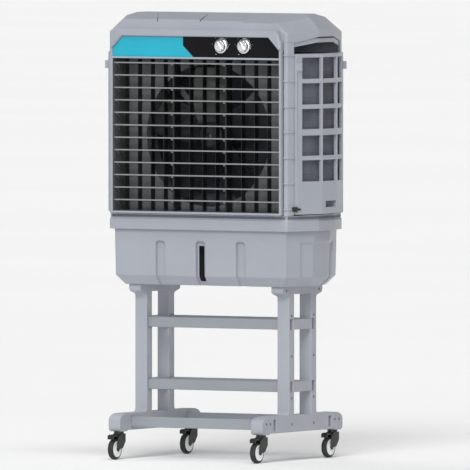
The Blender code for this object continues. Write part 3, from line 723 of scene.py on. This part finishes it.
def brake(place):
    """The pedal's moulded body again, with the ribs that a shoe grips."""
    name = "caster_brake_" + place
    low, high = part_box(name)
    softened(name, 0.8 * MM, BLACK, segments=2)
    for i in range(5):
        y = low.y + (5 + 6 * i) * MM
        outline = [(y, high.z - 2.4 * MM), (y + 1 * MM, high.z + 0.8 * MM), (y + 2.6 * MM, high.z + 0.8 * MM),
                   (y + 3.6 * MM, high.z - 2.4 * MM)]
        rib = slab(bmesh.new(), outline, low.x + 1.5 * MM, high.x - 1.5 * MM, "X")
        piece(f"{name}_rib_{i + 1}", rib, BLACK, "brake_" + place)


def give(names, finish):
    """Puts a finish in the material slot of CAD nodes that stay as they are."""
    for name in names:
        NODES[name].material_slots[0].material = finish


def plain_nodes():
    give([f"slat_{i:02d}" for i in range(1, SLAT_COUNT + 1)], SLAT)
    give([f"vane_{i:02d}" for i in range(1, 14)], BLACK)
    give(["fan"], FAN)
    give(["fan_shroud"], DARK)
    give(["fan_motor"], MOTOR)
    give(["control_panel"], GLOSS)
    give(["water_pump"], BLACK)
    for place in CORNERS:
        give(["caster_wheel_" + place], TYRE)


# ---- stage ----


def sun(name, turn, rise, spread, strength):
    """A soft, even light from a direction: degrees round from the front towards +X, and above the floor."""
    data = bpy.data.lights.new(name, "SUN")
    data.energy = strength
    data.angle = math.radians(spread)
    light = bpy.data.objects.new(name, data)
    turn, rise = math.radians(turn), math.radians(rise)
    away = Vector((math.sin(turn) * math.cos(rise), -math.cos(turn) * math.cos(rise), math.sin(rise)))
    light.location = 5 * away
    light.rotation_euler = away.to_track_quat("Z", "Y").to_euler()
    bpy.context.scene.collection.objects.link(light)


def stage():
    """A pale floor that runs out past the camera's view on every side, under even studio light."""
    bm = bmesh.new()
    reach = FLOOR_REACH
    corners = ((-reach, -reach), (reach, -reach), (reach, reach), (-reach, reach))
    bm.faces.new([bm.verts.new((x, y, -FLOOR_DROP)) for x, y in corners])
    mesh = bpy.data.meshes.new("floor")
    bm.to_mesh(mesh)
    bm.free()
    made, tree, shader = node_tree("floor_paint")
    shade = noise(tree, 0.4, 2.0)
    tone = ramp(tree, shade.outputs["Fac"], (0.95, 0.95, 0.95), (0.97, 0.97, 0.97))
    tree.links.new(tone, shader.inputs["Base Color"])
    shader.inputs["Roughness"].default_value = 0.8
    shader.inputs["Specular IOR Level"].default_value = 0.1
    mesh.materials.append(made)
    floor = bpy.data.objects.new("floor", mesh)
    bpy.context.scene.collection.objects.link(floor)
    studio_world()
    bpy.context.scene.view_settings.view_transform = "Standard"
    sun("key", KEY_TURN, KEY_RISE, KEY_SPREAD, KEY_LIGHT)
    sun("top", TOP_TURN, TOP_RISE, TOP_SPREAD, TOP_LIGHT)
    sun("back", BACK_TURN, BACK_RISE, BACK_SPREAD, BACK_LIGHT)
    sun("fill", FILL_TURN, FILL_RISE, FILL_SPREAD, FILL_LIGHT)


def studio_world():
    """Even light from above, with a pale band low down that carries the floor's tone past the horizon."""
    world = bpy.data.worlds.new("studio")
    world.use_nodes = True
    tree = world.node_tree
    place = tree.nodes.new("ShaderNodeTexCoord")
    parts = tree.nodes.new("ShaderNodeSeparateXYZ")
    tree.links.new(place.outputs["Generated"], parts.inputs["Vector"])
    shade = ramp(tree, parts.outputs["Z"], (HORIZON_LIGHT,) * 3, (WORLD_LIGHT,) * 3, 0.09, 0.16)
    tree.links.new(shade, tree.nodes["Background"].inputs["Color"])
    bpy.context.scene.world = world


def camera():
    data = bpy.data.cameras.new("camera")
    data.lens = CAMERA_LENS
    data.sensor_width = 36
    data.clip_end = 400
    view = bpy.data.objects.new("camera", data)
    turn, rise = math.radians(CAMERA_TURN), math.radians(CAMERA_RISE)
    away = Vector((math.sin(turn) * math.cos(rise), -math.cos(turn) * math.cos(rise), math.sin(rise)))
    view.location = Vector(CAMERA_AIM) + Vector((0, MIDDLE_Y, 0)) + CAMERA_AWAY * away
    view.rotation_euler = away.to_track_quat("Z", "Y").to_euler()
    bpy.context.scene.collection.objects.link(view)
    bpy.context.scene.camera = view


camera()
stage()
shells()
roof()
waist_shade_strip()
plain_nodes()
cyan_field()
knob("speed_knob")
knob("cooling_knob")
slat_fittings()
stays()
duct_painted_shades()
channel_crowns()
front_brow()
column_ribs()
level_window()
side_pad("pad_left", -1)
side_pad("pad_right", 1)
rear_pad()
turn_button("left", -1, 1)
turn_button("right", 1, -1)
stand_screws()
casters()
